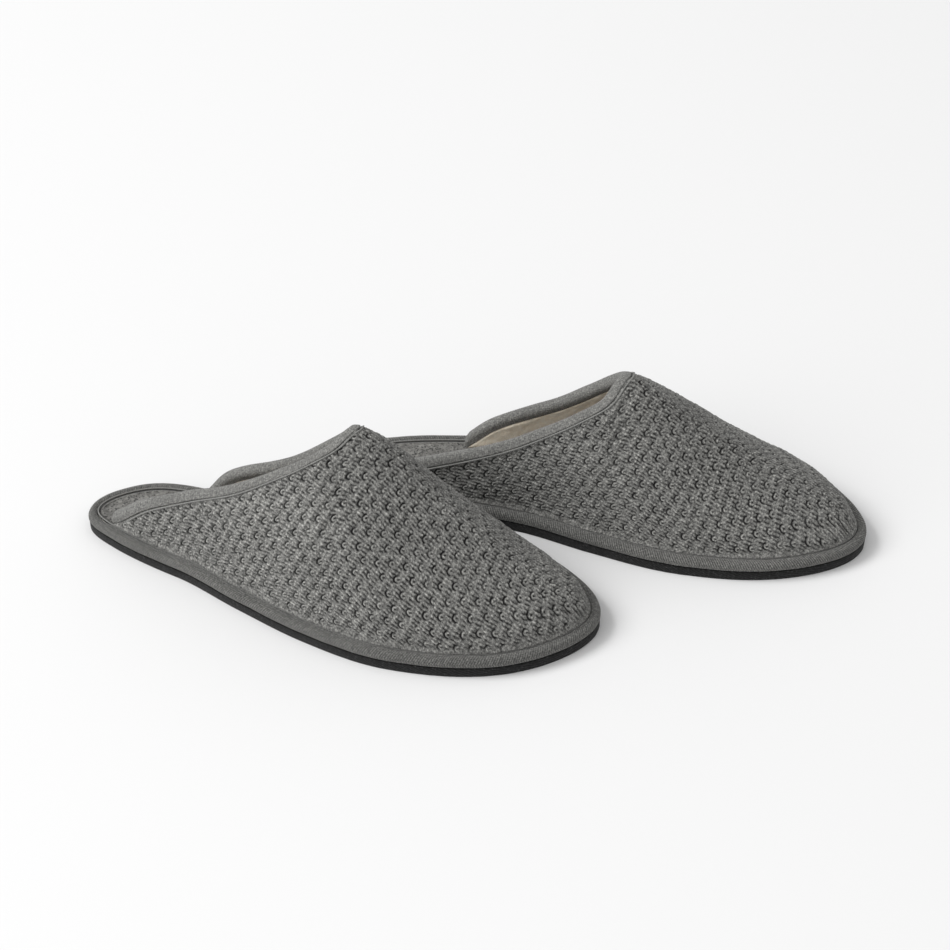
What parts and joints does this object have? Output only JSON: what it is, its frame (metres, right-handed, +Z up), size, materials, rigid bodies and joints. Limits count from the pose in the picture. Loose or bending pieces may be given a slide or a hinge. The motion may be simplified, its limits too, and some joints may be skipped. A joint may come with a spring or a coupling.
{
  "type": "pair of slippers",
  "caption": "Pair of backless closed-toe slippers with a textured grey knit upper, ribbed edge band, fleece lining and a flat dark sole.",
  "frame": {"origin": "on the floor, under the middle of the box that holds both slippers", "axes": "+Z up, +Y from heel to toe of the right slipper, +X to its outer side"},
  "size_m": [0.2184, 0.4002, 0.0951],
  "materials": {
    "sole_felt": "matte",
    "board": "matte",
    "foam": "matte",
    "footbed_knit": "matte",
    "rib_knit": "matte",
    "thread": "matte",
    "textured_knit": "matte",
    "padding": "matte",
    "fleece": "matte"
  },
  "bodies": {
    "right_slipper": {"right_outsole": "sole_felt", "right_insole_board": "board", "right_midsole_foam": "foam", "right_footbed_cover": "footbed_knit", "right_rand_binding": "rib_knit", "right_rand_seam": "thread", "right_upper_knit": "textured_knit", "right_upper_interlining": "padding", "right_upper_lining": "fleece", "right_collar_band": "rib_knit", "right_collar_seam": "thread"},
    "left_slipper": {"left_outsole": "sole_felt", "left_insole_board": "board", "left_midsole_foam": "foam", "left_footbed_cover": "footbed_knit", "left_rand_binding": "rib_knit", "left_rand_seam": "thread", "left_upper_knit": "textured_knit", "left_upper_interlining": "padding", "left_upper_lining": "fleece", "left_collar_band": "rib_knit", "left_collar_seam": "thread"}
  },
  "joints": [
    {"name": "left_slipper_lift", "type": "slide", "parent": "right_slipper", "child": "left_slipper", "axis": [0, 0, 1], "range_m": [0, 0.2]}
  ]
}
